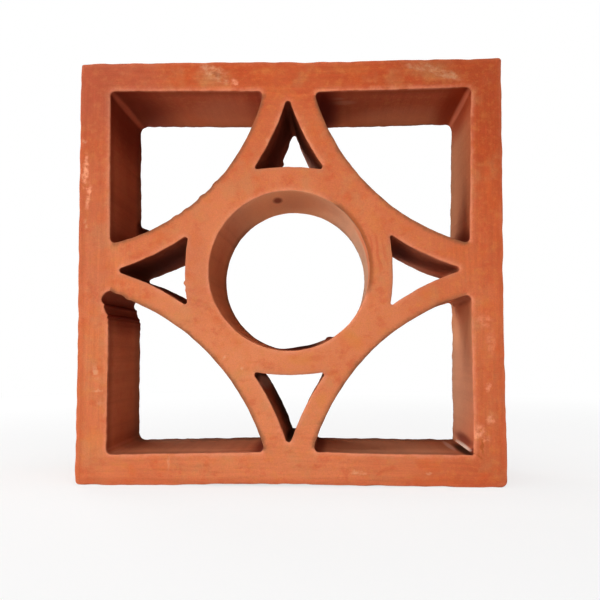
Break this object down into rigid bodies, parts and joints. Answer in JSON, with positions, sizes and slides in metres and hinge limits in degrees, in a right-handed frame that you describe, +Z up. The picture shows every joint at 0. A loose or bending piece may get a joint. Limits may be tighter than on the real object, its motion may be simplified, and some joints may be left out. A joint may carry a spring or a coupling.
{
  "type": "pierced terracotta screen block",
  "caption": "Square terracotta screen block pierced with a round middle hole, curved arms, pointed slots and open corners, for ventilated brick screens.",
  "frame": {"origin": "middle of the bottom bed, the face that the block stands on", "axes": "+X across the block, +Y from the front face to the back face along the openings, +Z up"},
  "size_m": [0.2, 0.065, 0.2],
  "materials": {
    "terracotta": "matte"
  },
  "bodies": {
    "root": {"screen_block": "terracotta"}
  },
  "joints": []
}
